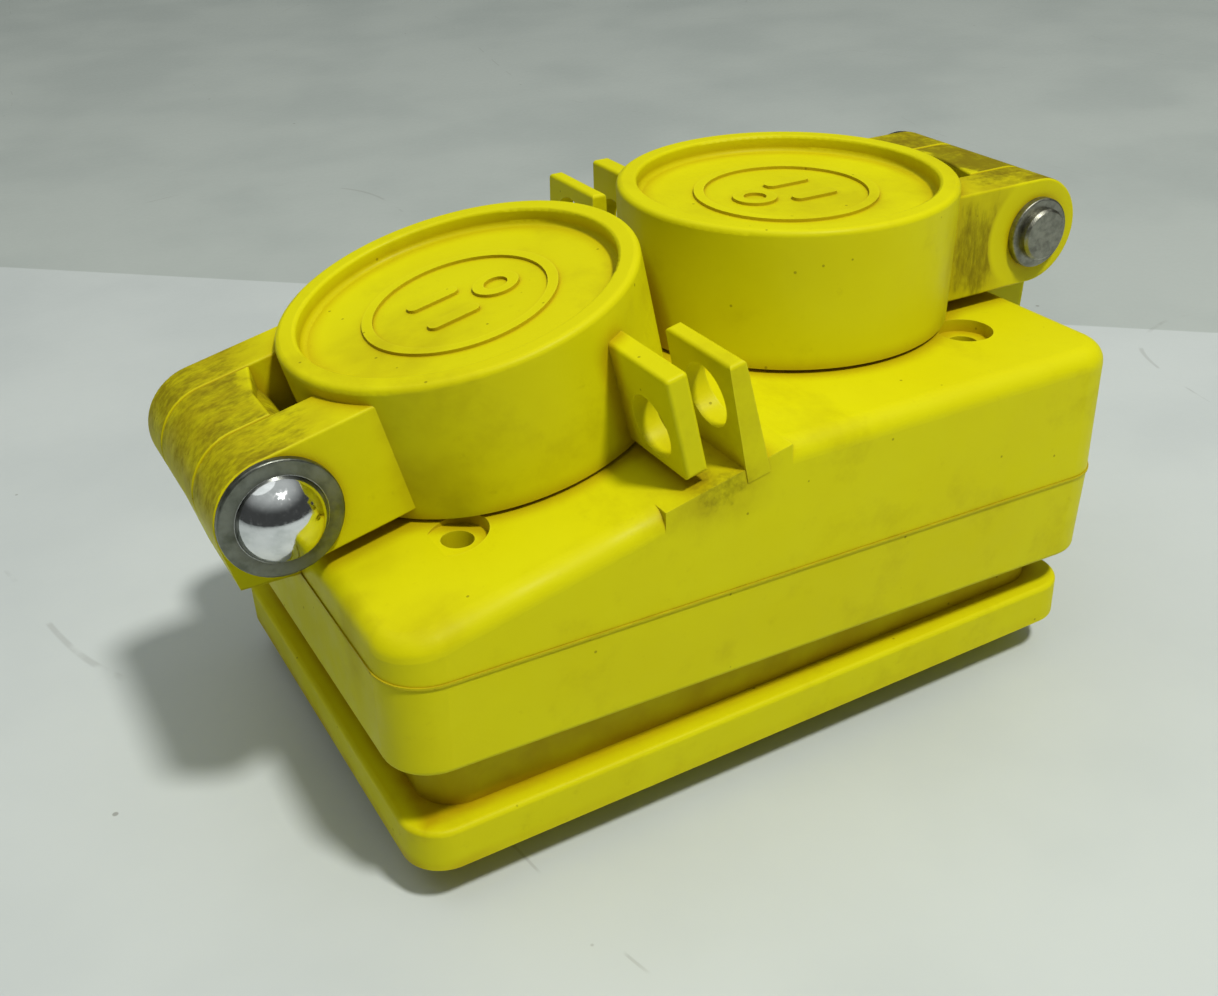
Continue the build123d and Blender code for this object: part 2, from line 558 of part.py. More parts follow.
def make_rear_cover():
    """Tray that drops through the plate and hangs on two lips, with a well for each terminal."""
    length, width = PLATE_OPENING_LENGTH - 2 * COVER_FIT, PLATE_OPENING_WIDTH - 2 * COVER_FIT
    top = PLATE_THICKNESS + COVER_LIP
    tray = slab(length, width, PLATE_OPENING_CORNER, -COVER_DEPTH, top)
    tray = fillet(tray.faces().sort_by(Axis.Z)[0].edges(), 1.0)
    tray += slab(length - 10, width + 3 * COVER_LIP, 1.5, PLATE_THICKNESS, top)
    tray -= slab(
        length - 2 * COVER_WALL, width - 2 * COVER_WALL, PLATE_OPENING_CORNER - 1, COVER_WALL - COVER_DEPTH, LONG
    )
    for place in well_places():
        tray += place * slab(
            WELL_LENGTH + 3, WELL_WIDTH + 3, 2.0, COVER_WALL - COVER_DEPTH - 0.5, WELL_DEPTH - COVER_DEPTH + COVER_WALL
        )
        tray -= place * slab(WELL_LENGTH, WELL_WIDTH, 1.5, -LONG, WELL_DEPTH - COVER_DEPTH)
        tray -= place * upright(TERMINAL_SCREW_R, -LONG, LONG)
    for x in (-POST_X, POST_X):
        for y in (-POST_Y, POST_Y):
            tray += Pos(x, y, 0) * upright(POST_R, COVER_WALL - COVER_DEPTH - 0.5, BOARD_Z)
    return tray


def make_terminal_plate():
    """Clamping plate at the top of a well."""
    top = WELL_DEPTH - COVER_DEPTH
    plate = slab(WELL_LENGTH - 1, WELL_WIDTH - 1, 1.0, top - TERMINAL_THICKNESS, top)
    return plate - upright(TERMINAL_SCREW_R, -LONG, LONG)


def make_terminal_screw():
    """Slotted screw that faces down out of a well."""
    seat = WELL_DEPTH - COVER_DEPTH - TERMINAL_THICKNESS
    head = upright(TERMINAL_HEAD_R, seat - TERMINAL_HEAD, seat)
    head = fillet(head.edges().sort_by(Axis.Z)[0], 0.5)
    head -= block((-LONG, LONG), (-0.5, 0.5), (seat - TERMINAL_HEAD - 1, seat - TERMINAL_HEAD + 1.0))
    shank = upright(TERMINAL_SCREW_R, seat - 0.1, seat + TERMINAL_THICKNESS + COVER_WALL + 1.5)
    return head + shank


def make_board():
    board = slab(BOARD_LENGTH, BOARD_WIDTH, 2.0, BOARD_Z, BOARD_Z + BOARD_THICKNESS)
    for x in (-POST_X, POST_X):
        for y in (-POST_Y, POST_Y):
            board -= Pos(x, y, 0) * upright(1.2, 0, LONG)
    return board


def make_solenoid_frame():
    """Bent strap that holds the coil by both ends."""
    half = COIL_LENGTH / 2
    width = COIL_R + 0.6
    bottom = BOARD_Z + BOARD_THICKNESS
    top = SOLENOID_Z + COIL_R + 0.6
    strap = block((-width, width), (-half - 1.0, half + 1.0), (bottom, top))
    strap -= block((-LONG, LONG), (-half, half), (bottom + 1.0, LONG))
    strap = Pos(0, SOLENOID_Y, 0) * strap
    return strap - Pos(0, SOLENOID_Y, SOLENOID_Z) * rod_y(PLUNGER_R + 2 * PLUNGER_CLEARANCE, -LONG, LONG)


def make_solenoid_coil():
    """Bobbin and winding as one piece, bored for the plunger."""
    half = COIL_LENGTH / 2
    coil = rod_y(COIL_R - 0.8, -half, half)
    coil += rod_y(COIL_R, -half, 1 - half) + rod_y(COIL_R, half - 1, half)
    coil -= rod_y(PLUNGER_R + PLUNGER_CLEARANCE, -LONG, LONG)
    return Pos(0, SOLENOID_Y, SOLENOID_Z) * coil


def make_plunger():
    start = SOLENOID_Y - COIL_LENGTH / 2
    rod = rod_y(PLUNGER_R, start, start + PLUNGER_LENGTH)
    rod += rod_y(PLUNGER_R + 1.2, start + PLUNGER_LENGTH - 1.5, start + PLUNGER_LENGTH)
    return Pos(0, 0, SOLENOID_Z) * rod


def make_toroid():
    """Sensing transformer: a wound ring standing on the board."""
    bottom = BOARD_Z + BOARD_THICKNESS
    ring = tube(TOROID_R, TOROID_HOLE_R, bottom, bottom + TOROID_HEIGHT)
    ring = fillet(ring.edges().filter_by(GeomType.CIRCLE), 0.9)
    return Pos(0, TOROID_Y, 0) * ring


def make_relay():
    bottom = BOARD_Z + BOARD_THICKNESS
    case = slab(19.0, 13.0, 1.0, bottom, bottom + 9.0)
    return Pos(22, -19, 0) * chamfer(case.faces().sort_by(Axis.Z)[-1].edges(), 0.6)


def make_varistor():
    bottom = BOARD_Z + BOARD_THICKNESS
    disc = Pos(-21, 19, bottom + 5.0) * rod_y(5.0, -1.8, 1.8)
    return fillet(disc.edges().filter_by(GeomType.CIRCLE), 1.0)


def make_chips():
    bottom = BOARD_Z + BOARD_THICKNESS
    sizes = [((-22, -18), (9.0, 6.0, 1.8)), ((-10, -19), (5.0, 4.0, 1.5)), ((14, 18), (6.0, 6.0, 1.6))]
    return [Pos(x, y, 0) * slab(*size[:2], 0.4, bottom, bottom + size[2]) for (x, y), size in sizes]


def save(node, *solids):
    """One STEP file per node; a group of like pieces keeps its solids separate."""
    shape = solids[0] if len(solids) == 1 else Compound(children=[Compound(solid.solids()) for solid in solids])
    export_step(shape, f"parts/{node}.step")


def save_lids_and_hinges():
    for side in (LEFT, RIGHT):
        name = SIDE_NAMES[side]
        frame = HOUSING_FRAME * lid_frame(side)
        save(f"lid_{name}", frame * make_lid())
        save(f"lid_seal_{name}", frame * make_lid_seal())
        save(f"hinge_pin_{name}", frame * make_pin())
        save(f"outlet_body_{name}", HOUSING_FRAME * outlet_frame(side) * make_outlet_body())
        save(f"outlet_face_{name}", HOUSING_FRAME * outlet_frame(side) * make_outlet_face())
    frames = [HOUSING_FRAME * lid_frame(side) for side in (LEFT, RIGHT)]
    save("pin_washers", *[frame * make_washer() for frame in frames])
    save("pin_caps", *[frame * make_cap() for frame in frames])


def save_buttons():
    test, reset = [HOUSING_FRAME * place for place in button_places()]
    save("button_panel", HOUSING_FRAME * make_panel())
    save("test_button", test * make_button())
    save("reset_button", reset * make_button())
    save("button_springs", test * make_spring(), reset * make_spring())
    save("indicator_light", HOUSING_FRAME * make_light())


def save_contacts():
    save("hot_bus", HOUSING_FRAME * make_bus(blade_clip(), BLADE_X, BLADE_Y))
    save("neutral_bus", HOUSING_FRAME * make_bus(blade_clip(), BLADE_X, -BLADE_Y))
    save("ground_bus", HOUSING_FRAME * make_bus(ground_clip(), GROUND_X, 0))


def save_rear():
    wells = well_places()
    save("rear_cover", make_rear_cover())
    save("terminal_plates", *[place * make_terminal_plate() for place in wells])
    save("hot_screws", *[place * make_terminal_screw() for place in wells[0:2]])
    save("neutral_screws", *[place * make_terminal_screw() for place in wells[2:4]])
    save("ground_screw", wells[4] * make_terminal_screw())


def save_board():
    save("circuit_board", make_board())
    save("solenoid_frame", make_solenoid_frame())
    save("solenoid_coil", make_solenoid_coil())
    save("trip_plunger", make_plunger())
    save("sensing_coil", make_toroid())
    save("relay", make_relay())
    save("varistor", make_varistor())
    save("board_chips", *make_chips())


os.makedirs("parts", exist_ok=True)
save("housing", make_housing())
save("mounting_plate", make_plate())
save_lids_and_hinges()
save_buttons()
save_contacts()
save_rear()
save_board()
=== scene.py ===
"""Looks of the watertight duplex outlet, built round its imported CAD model. Metres, in the CAD frame."""
import json
from collections import namedtuple
from math import cos, pi, radians, sin

import bpy
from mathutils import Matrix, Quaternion, Vector


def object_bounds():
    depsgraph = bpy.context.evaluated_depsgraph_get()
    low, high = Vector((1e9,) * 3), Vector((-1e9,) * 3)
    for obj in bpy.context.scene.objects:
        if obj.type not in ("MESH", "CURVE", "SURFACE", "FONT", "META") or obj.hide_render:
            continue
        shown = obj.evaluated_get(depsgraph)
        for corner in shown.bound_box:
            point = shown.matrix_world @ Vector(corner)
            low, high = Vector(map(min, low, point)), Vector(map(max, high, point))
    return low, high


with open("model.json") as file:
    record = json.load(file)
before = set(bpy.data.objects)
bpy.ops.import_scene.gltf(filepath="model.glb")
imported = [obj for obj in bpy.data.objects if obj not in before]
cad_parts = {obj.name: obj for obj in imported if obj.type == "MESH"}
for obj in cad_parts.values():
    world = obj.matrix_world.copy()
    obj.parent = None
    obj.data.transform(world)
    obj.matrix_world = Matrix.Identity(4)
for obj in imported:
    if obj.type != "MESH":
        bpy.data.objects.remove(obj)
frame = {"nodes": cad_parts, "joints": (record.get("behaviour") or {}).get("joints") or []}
CAD_LOW, CAD_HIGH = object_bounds()

MM = 0.001
NODES = frame["nodes"]
HINGE = {joint["child"]: Vector(joint["pos_m"]) for joint in frame["joints"] if joint["type"] == "hinge"}
LEFT_HINGE, RIGHT_HINGE = HINGE["left_lid"], HINGE["right_lid"]
# weights that measure a distance from a hinge's axis, which runs along Y
ROUND_HINGE = (1, 0, 1)

# the housing leans on its plate: its own up direction, and heights from the origin in that direction
LEAN = radians(2.3)
HOUSING_UP = (sin(LEAN), 0, cos(LEAN))
SEAM = 28.2 * MM
# heights on the neck: painted shade is full below the first and gone above the second
NECK_SHADE_FULL, NECK_SHADE_END = 13.6 * MM, 14.8 * MM

# sizes that the materials follow
NECK_HALF_LENGTH, NECK_HALF_WIDTH = 52.5 * MM, 34 * MM
CAP_DOME_R, CAP_BLEND = 5.95 * MM, 0.1 * MM
HINGE_GRIME_FULL, KNUCKLE_GRIME_END, EAR_GRIME_END = 9 * MM, 11.5 * MM, 17 * MM
WIPED_RING_R = 8.6 * MM
PATCH_SIZE = 1.1 * MM

# where the smears lie, in millimetres
BELOW_TABS = (-11, -39, 44.5)
LEFT_ROOF_EDGE = (-40, -38.5, 43)
LEFT_ROOF_CORNER = (-50, -37, 41)
LEFT_END_CORNER = (-60, -25, 33)
LEFT_ROOF_BY_EAR = (-51, -18, 37)
LEFT_EAR_ROOT = (-41, -16, 45)
LEFT_LID_BY_TAB = (-14, -22, 52)
LEFT_LID_TOP = (-38, -4, 60)
RIGHT_EAR_SIDE = (49, -16.6, 56)
RIGHT_LID_TOP = (30, -5, 67)

# colours
YELLOW = (0.69, 0.655, 0.003)
YELLOW_DEEP = (0.635, 0.56, 0.002)
# paler yellow for the painted highlight on sharp edges
YELLOW_HIGHLIGHT = (0.78, 0.75, 0.03)
# dark ochre for smears and handling marks, and for the seam line, which is partly painted shade
DIRT_AND_SHADE_OCHRE = (0.33, 0.245, 0.004)
# orange-brown for painted shade: crevices, the recessed neck and the plate beside it
BROWN = (0.085, 0.052, 0.004)
ORANGE_SHADE = (0.34, 0.15, 0.002)
# dark colour for painted shade in metal corners
METAL_CORNER_SHADE = (0.05, 0.04, 0.02)
PLASTIC_DUST = (0.30, 0.26, 0.18)

# how far each effect carries the rubber's colour over
CLOUD_SHARE, EDGE_HIGHLIGHT_SHARE, CREVICE_SHADE_SHARE = 0.35, 0.35, 0.52
SPECK_SHARE, STAIN_SHARE, SEAM_SHARE = 0.75, 0.66, 0.40

# floor, camera and light
FLOOR_SIZE = 5.0
WALL_FOOT = (Vector((-64.7, 259.5)) * MM, Vector((176.0, 31.3)) * MM)
CAMERA_PLACE = Vector((-93.965, -164.642, 131.256)) * MM
CAMERA_AIM = Vector((-6.096, 0, 22.645)) * MM
CAMERA_ROLL = radians(-2.855)
CAMERA_LENS, SENSOR_WIDTH = 41.034, 36
KEY_DIRECTION, CEILING_DIRECTION = Vector((0.12, -0.5, 1.0)), Vector((-0.3, 0.3, 1.0))
ROOM_COLOUR = (0.95, 1.0, 0.97, 1)
ROOM_DARK, ROOM_BRIGHT = 0.055, 0.52

# a smear's mask function, the strengths of its thin film and its brown stains, and its grain's stretch
Smear = namedtuple("Smear", "mask film stain streak", defaults=[(1, 1, 1)])


class Paint:
    """One material and its nodes. Places in it are the CAD frame's, in metres."""

    def __init__(self, name, **settings):
        self.material = bpy.data.materials.new(name)
        self.material.use_nodes = True
        self.nodes = self.material.node_tree.nodes
        self.links = self.material.node_tree.links
        self.shader = self.nodes["Principled BSDF"]
        self.place = self.nodes.new("ShaderNodeTexCoord").outputs["Object"]
        for socket, value in settings.items():
            self.shader.inputs[socket.replace("_", " ")].default_value = value

    def node(self, kind, output=0, inputs=(), **settings):
        made = self.nodes.new(kind)
        for name, value in settings.items():
            setattr(made, name, value)
        for socket, value in dict(inputs).items():
            self.feed(made.inputs[socket], value)
        return made.outputs[output]

    def feed(self, socket, value):
        """Links a socket to another node's output, or sets it to a number or a colour."""
        if isinstance(value, bpy.types.NodeSocket):
            self.links.new(value, socket)
        elif socket.type == "RGBA" and len(value) == 3:
            socket.default_value = (*value, 1)
        else:
            socket.default_value = value

    def put(self, socket, value):
        self.feed(self.shader.inputs[socket], value)

    def math(self, operation, a, b=0.0):
        return self.node("ShaderNodeMath", inputs={0: a, 1: b}, operation=operation)

    def times(self, a, b):
        return self.math("MULTIPLY", a, b)

    def plus(self, a, b):
        return self.math("ADD", a, b)

    def minus(self, a, b):
        return self.math("SUBTRACT", a, b)

    def larger(self, a, b):
        return self.math("MAXIMUM", a, b)

    def absolute(self, value):
        return self.math("ABSOLUTE", value)

    def vector(self, operation, a, b=(0, 0, 0), output=0):
        return self.node("ShaderNodeVectorMath", output, {0: a, 1: b}, operation=operation)

    def span(self, value, low, high, start=0.0, end=1.0):
        """Smooth step of a value, from start at low to end at high."""
        inputs = {"Value": value, "From Min": low, "From Max": high, "To Min": start, "To Max": end}
        return self.node("ShaderNodeMapRange", inputs=inputs, interpolation_type="SMOOTHSTEP")

    def mix(self, a, b, share):
        """Colour a, carried over to colour b by that share."""
        return self.node("ShaderNodeMix", 2, {0: share, 6: a, 7: b}, data_type="RGBA")

    def moved(self, stretch=(1, 1, 1), seed=0):
        """The surface's place, stretched, and shifted by an amount of its own for each seed."""
        scale = [1 / s for s in stretch]
        offset = (0.31 * seed, 0.17 * seed, 0.23 * seed)
        inputs = {"Vector": self.place, "Location": offset, "Scale": scale}
        return self.node("ShaderNodeMapping", inputs=inputs)

    def noise(self, size, detail=3.0, stretch=(1, 1, 1), seed=0, rough=0.5):
        place = self.moved(stretch, seed)
        inputs = {"Vector": place, "Scale": 1 / size, "Detail": detail, "Roughness": rough}
        return self.node("ShaderNodeTexNoise", inputs=inputs)

    def distance(self, point, weights):
        """How far the surface is from a point. A weight of 0 drops an axis."""
        away = self.vector("MULTIPLY", self.vector("SUBTRACT", self.place, point), weights)
        return self.vector("LENGTH", away, output=1)

    def near(self, point, inner, outer, weights=(1, 1, 1), ragged=0.0, seed=0):
        """1 within the inner distance of a point, 0 beyond the outer one."""
        away = self.distance(point, weights)
        if ragged:
            wobble = self.minus(self.noise(4 * MM, 4, seed=seed), 0.5)
            away = self.plus(away, self.times(wobble, ragged))
        return self.span(away, inner, outer, 1.0, 0.0)

    def facing_share(self, direction):
        """Cosine of the angle between the surface's normal and a direction of the CAD frame."""
        normal = self.nodes.new("ShaderNodeTexCoord").outputs["Normal"]
        return self.vector("DOT_PRODUCT", normal, direction, output=1)

    def along(self, direction):
        """Distance of the surface along a direction, from the origin."""
        return self.vector("DOT_PRODUCT", self.place, direction, output=1)

    def corners(self, reach, own=True):
        """1 in crevices, 0 on open faces. Only the piece's own, or those beside its neighbours too."""
        inputs = {"Distance": reach}
        open_share = self.node("ShaderNodeAmbientOcclusion", "AO", inputs, samples=6, only_local=own)
        return self.span(open_share, 0.55, 0.98, 1.0, 0.0)

    def sharp_edges(self, radius):
        """1 on sharp edges, 0 on flat faces."""
        soft = self.node("ShaderNodeBevel", inputs={"Radius": radius}, samples=4)
        true = self.node("ShaderNodeNewGeometry", "True Normal")
        return self.span(self.vector("DOT_PRODUCT", soft, true, output=1), 0.8, 0.99, 1.0, 0.0)

    def specks(self, spacing, radius, share, seed=0):
        """Small round spots, on that share of the places a spot could be."""
        cells = self.nodes.new("ShaderNodeTexVoronoi")
        self.feed(cells.inputs["Vector"], self.moved(seed=seed))
        self.feed(cells.inputs["Scale"], 1 / spacing)
        spot = self.span(cells.outputs["Distance"], radius / spacing, 1.6 * radius / spacing, 1.0, 0.0)
        draw = self.vector("DOT_PRODUCT", cells.outputs["Color"], (1, 0, 0), output=1)
        return self.times(spot, self.math("LESS_THAN", draw, share))

    def bump(self, height, depth):
        """Relief of that real depth."""
        return self.node("ShaderNodeBump", inputs={"Height": height, "Distance": depth, "Strength": 1.0})


# masks: each is 1 where its effect is strongest and 0 where there is none


def patchy(paint, mask, seed, stretch):
    """Breaks a smooth mask up into grimy patches: a weak mask leaves scattered ones."""
    grain = paint.noise(PATCH_SIZE, 6, stretch, seed, 0.65)
    cloud = paint.noise(6 * PATCH_SIZE, 3, stretch, seed + 1)
    texture = paint.plus(paint.times(grain, 0.55), paint.times(cloud, 0.45))
    level = paint.minus(paint.plus(mask, texture), 1.0)
    held = paint.span(level, 0.0, 0.34)
    return paint.times(held, paint.span(mask, 0.0, 0.35))


def handling_marks(paint, seed):
    """Faint smudges all over the rubber."""
    fine = paint.span(paint.noise(3 * MM, 6, seed=seed + 2, rough=0.7), 0.60, 0.8)
    broad = paint.span(paint.noise(13 * MM, 6, (1, 1.6, 1), seed + 3, 0.62), 0.52, 0.72)
    return paint.plus(paint.times(fine, 0.20), paint.times(broad, 0.22))


def mould_line(paint):
    """Thin wavy line along the housing's seam, darkened: partly painted shade under the mould flash, partly
    dirt.
    """
    level = paint.minus(paint.along(HOUSING_UP), SEAM)
    wobble = paint.times(paint.minus(paint.noise(3 * MM, 3, seed=9), 0.5), 0.6 * MM)
    return paint.span(paint.absolute(paint.plus(level, wobble)), 0.08 * MM, 0.36 * MM, 1.0, 0.0)


def hinge_band(hinge, end, sides=0.35):
    """Round a hinge's axis, most where it faces up and by that share on the ears' flat sides."""

    def mask(paint):
        round_pin = paint.near(hinge, HINGE_GRIME_FULL, end, ROUND_HINGE, ragged=4 * MM, seed=3)
        flat = paint.absolute(paint.facing_share((0, 1, 0)))
        worn = paint.span(flat, 0.3, 0.7, 1.0, sides)
        up = paint.span(paint.facing_share((0, 0, 1)), -0.6, 0.4)
        return paint.times(round_pin, paint.times(worn, paint.larger(up, sides)))

    return mask


def smudge(centre, size, weights=(1, 1, 1)):
    """Soft-edged ragged smear that reaches about that many millimetres from its centre."""

    def mask(paint):
        reach = size * MM
        return paint.near(Vector(centre) * MM, 0.15 * reach, reach, weights, ragged=0.5 * reach, seed=5)

    return mask


def beyond(hinge, clean, mask):
    """Another mask, less a clean ring of that radius about a hinge's axis."""

    def cut_mask(paint):
        smeared = mask(paint)
        ring = paint.near(hinge, clean, 1.12 * clean, ROUND_HINGE)
        return paint.times(smeared, paint.minus(1.0, ring))

    return cut_mask


def neck_shade(paint):
    """Painted shade on the recessed neck between housing and plate."""
    low = paint.span(paint.along(HOUSING_UP), NECK_SHADE_FULL, NECK_SHADE_END, 1.0, 0.0)
    return paint.times(low, paint.span(paint.noise(8 * MM, 4, seed=21), 0.3, 0.7, 0.45, 1.0))


def plate_shade(paint):
    """Painted shade on the plate's top close to the neck, and along its lower edge, both most at the left end.
    """
    beside_x = paint.minus(paint.absolute(paint.along((1, 0, 0))), NECK_HALF_LENGTH)
    beside_y = paint.minus(paint.absolute(paint.along((0, 1, 0))), NECK_HALF_WIDTH)
    near_neck = paint.span(paint.larger(beside_x, beside_y), 0.3 * MM, 2.6 * MM, 1.0, 0.0)
    low_edge = paint.span(paint.along((0, 0, 1)), 0.2 * MM, 2.2 * MM, 0.7, 0.0)
    left = paint.span(paint.along((-1, 0, 0)), 30 * MM, 56 * MM, 0.25, 1.0)
    patches = paint.span(paint.noise(6 * MM, 5, seed=23), 0.3, 0.65, 0.3, 1.0)
    return paint.times(paint.times(paint.larger(near_neck, low_edge), left), patches)


# materials


def yellow_rubber(name, smears=(), painted_shades=(), seam=False, seed=0):
    """Satin yellow rubber with smears, and painted shade as (mask function, strength) pairs. Crevices get
    painted shade, and sharp edges a painted highlight.
    """
    paint = Paint(name, Specular_IOR_Level=0.09)
    cloud = paint.span(paint.noise(22 * MM, 4, seed=seed), 0.35, 0.7)
    colour = paint.mix(YELLOW, YELLOW_DEEP, paint.times(cloud, CLOUD_SHARE))
    # painted highlight: sharp edges paler, for the light their rounding catches
    colour = paint.mix(colour, YELLOW_HIGHLIGHT, paint.times(paint.sharp_edges(0.5 * MM), EDGE_HIGHLIGHT_SHARE))
    colour = paint.mix(colour, DIRT_AND_SHADE_OCHRE, handling_marks(paint, seed))
    # painted shade: crevices and joints between parts carried towards orange by ambient occlusion
    colour = paint.mix(colour, ORANGE_SHADE, paint.times(paint.corners(3.0 * MM, own=False), CREVICE_SHADE_SHARE))
    # painted shade from the masks passed in, on the neck and on the plate beside it
    for mask, strength in painted_shades:
        colour = paint.mix(colour, ORANGE_SHADE, paint.times(mask(paint), strength))
    darkening = paint.times(paint.specks(3.4 * MM, 0.16 * MM, 0.45, seed), SPECK_SHARE)
    for index, smear in enumerate(smears):
        mask = smear.mask(paint)
        uneven = paint.span(paint.noise(5 * MM, 5, smear.streak, seed + index), 0.25, 0.7, 0.35, 1.0)
        colour = paint.mix(colour, DIRT_AND_SHADE_OCHRE, paint.times(paint.times(mask, uneven), smear.film))
        stain = patchy(paint, paint.times(mask, smear.stain), seed + 7 + 2 * index, smear.streak)
        darkening = paint.larger(darkening, stain)
    colour = paint.mix(colour, BROWN, paint.times(darkening, STAIN_SHARE))
    if seam:
        # the seam line: partly painted shade under the flash, partly dirt
        colour = paint.mix(colour, DIRT_AND_SHADE_OCHRE, paint.times(mould_line(paint), SEAM_SHARE))
    paint.put("Base Color", colour)
    rough = paint.span(paint.noise(7 * MM, 5, seed=seed + 6), 0.3, 0.7, 0.40, 0.54)
    paint.put("Roughness", paint.plus(rough, paint.times(darkening, 0.25)))
    grain = paint.times(paint.noise(0.35 * MM, 2, seed=seed), 0.25)
    height = paint.plus(grain, paint.noise(4.5 * MM, 2, seed=seed + 4))
    paint.put("Normal", paint.bump(height, 0.06 * MM))
    return paint.material


def metal(name, colour, rough):
    """Bare or plated metal with fine scratches and a little painted shade in its corners."""
    paint = Paint(name, Metallic=1.0)
    cloud = paint.span(paint.noise(2.5 * MM, 5, seed=2), 0.35, 0.7)
    shade = tuple(0.72 * c for c in colour)
    tone = paint.mix(colour, shade, cloud)
    # painted shade: corners darkened by ambient occlusion
    paint.put("Base Color", paint.mix(tone, METAL_CORNER_SHADE, paint.times(paint.corners(1.2 * MM), 0.25)))
    scratches = paint.noise(0.4 * MM, 4, seed=5)
    paint.put("Roughness", paint.span(scratches, 0.3, 0.7, rough * 0.75, rough * 1.3))
    paint.put("Normal", paint.bump(scratches, 0.01 * MM))
    return paint.material


def chrome_cap():
    """Bright dome on a duller flange, told apart by how far they are from their hinge's axis."""
    paint = Paint("cap_chrome", Metallic=1.0)
    low, high = CAP_DOME_R - CAP_BLEND, CAP_DOME_R + CAP_BLEND
    dome = paint.larger(*[paint.near(hinge, low, high, ROUND_HINGE) for hinge in (LEFT_HINGE, RIGHT_HINGE)])
    cloud = paint.span(paint.noise(2.2 * MM, 5, seed=4), 0.4, 0.75)
    bright = paint.mix((0.78, 0.79, 0.80), (0.60, 0.62, 0.62), cloud)
    dull = paint.mix((0.20, 0.21, 0.18), (0.115, 0.125, 0.10), cloud)
    # painted shade: the cap's corners darkened by ambient occlusion
    darkening = paint.times(paint.corners(1.5 * MM), 0.7)
    paint.put("Base Color", paint.mix(paint.mix(dull, bright, dome), (0.05, 0.045, 0.03), darkening))
    scuff = paint.noise(0.5 * MM, 5, seed=6)
    dome_rough = paint.times(dome, paint.span(scuff, 0.45, 0.75, 0.07, 0.22))
    flange_rough = paint.times(paint.minus(1.0, dome), paint.span(scuff, 0.3, 0.7, 0.30, 0.48))
    paint.put("Roughness", paint.plus(dome_rough, flange_rough))
    paint.put("Normal", paint.bump(scuff, 0.004 * MM))
    return paint.material


def pin_steel():
    """Turned steel with fine rings, and painted shade in its corners. The rings are about the left hinge's axis.
    """
    paint = Paint("pin_steel", Metallic=1.0)
    cloud = paint.span(paint.noise(1.6 * MM, 6, seed=7, rough=0.7), 0.35, 0.7)
    tone = paint.mix((0.31, 0.31, 0.255), (0.17, 0.17, 0.14), cloud)
    # painted shade: corners darkened by ambient occlusion
    darkening = paint.times(paint.corners(1.4 * MM), 0.85)
    paint.put("Base Color", paint.mix(tone, (0.035, 0.03, 0.02), darkening))
    turns = paint.times(paint.distance(LEFT_HINGE, ROUND_HINGE), 2 * pi / (0.28 * MM))
    ring = paint.times(paint.math("SINE", turns), 0.5)
    scuff = paint.noise(0.6 * MM, 5, seed=8)
    paint.put("Roughness", paint.span(scuff, 0.3, 0.7, 0.30, 0.52))
    paint.put("Normal", paint.bump(paint.plus(ring, scuff), 0.006 * MM))
    return paint.material


def plastic(name, colour, rough, grain=0.35, depth=0.012):
    """Moulded plastic with a fine grain, of that size and depth in millimetres, and dust in its corners."""
    paint = Paint(name)
    cloud = paint.span(paint.noise(6 * MM, 4, seed=3), 0.3, 0.75)
    shade = tuple(0.8 * c for c in colour)
    light = tuple(min(1.0, 1.5 * c + 0.03) for c in colour)
    tone = paint.mix(colour, shade, cloud)
    tone = paint.mix(tone, light, paint.times(paint.sharp_edges(0.3 * MM), 0.5))
    paint.put("Base Color", paint.mix(tone, PLASTIC_DUST, paint.times(paint.corners(2 * MM), 0.12)))
    texture = paint.noise(grain * MM, 3, seed=4)
    paint.put("Roughness", paint.span(texture, 0.3, 0.7, rough - 0.06, rough + 0.08))
    paint.put("Normal", paint.bump(texture, depth * MM))
    return paint.material


# which pieces get which material


def use(material, *nodes):
    """Gives CAD nodes a material."""
    for node in nodes:
        for material_slot in NODES[node].material_slots:
            material_slot.material = material


def paint_housing():
    smears = [
        Smear(hinge_band(LEFT_HINGE, KNUCKLE_GRIME_END), film=0.66, stain=0.66, streak=(1.4, 0.8, 1)),
        Smear(hinge_band(RIGHT_HINGE, KNUCKLE_GRIME_END), film=0.70, stain=0.78),
        Smear(smudge(BELOW_TABS, 8, (0.7, 0.4, 1)), film=0.50, stain=0.66),
        Smear(smudge(LEFT_ROOF_EDGE, 7, (0.45, 1, 1.6)), film=0.45, stain=0.45),
        Smear(smudge(LEFT_ROOF_CORNER, 8, (0.8, 0.8, 1)), film=0.50, stain=0.58),
        Smear(smudge(LEFT_END_CORNER, 10, (1, 1.8, 0.8)), film=0.50, stain=0.50),
        Smear(smudge(LEFT_ROOF_BY_EAR, 9), film=0.22, stain=0.15),
    ]
    # the recessed neck gets painted shade
    use(yellow_rubber("housing_rubber", smears, [(neck_shade, 0.50)], seam=True, seed=1), "housing")


def paint_left_lid():
    smears = [
        Smear(hinge_band(LEFT_HINGE, EAR_GRIME_END, 0.3), film=0.64, stain=0.66, streak=(1.5, 0.7, 1)),
        Smear(smudge(LEFT_EAR_ROOT, 8, (1, 0.5, 1)), film=0.40, stain=0.40),
        Smear(smudge(LEFT_LID_BY_TAB, 6), film=0.35, stain=0.40),
        Smear(smudge(LEFT_LID_TOP, 15, (1, 1, 0.3)), film=0.42, stain=0.20),
    ]
    use(yellow_rubber("left_lid_rubber", smears, seed=2), "lid_left")


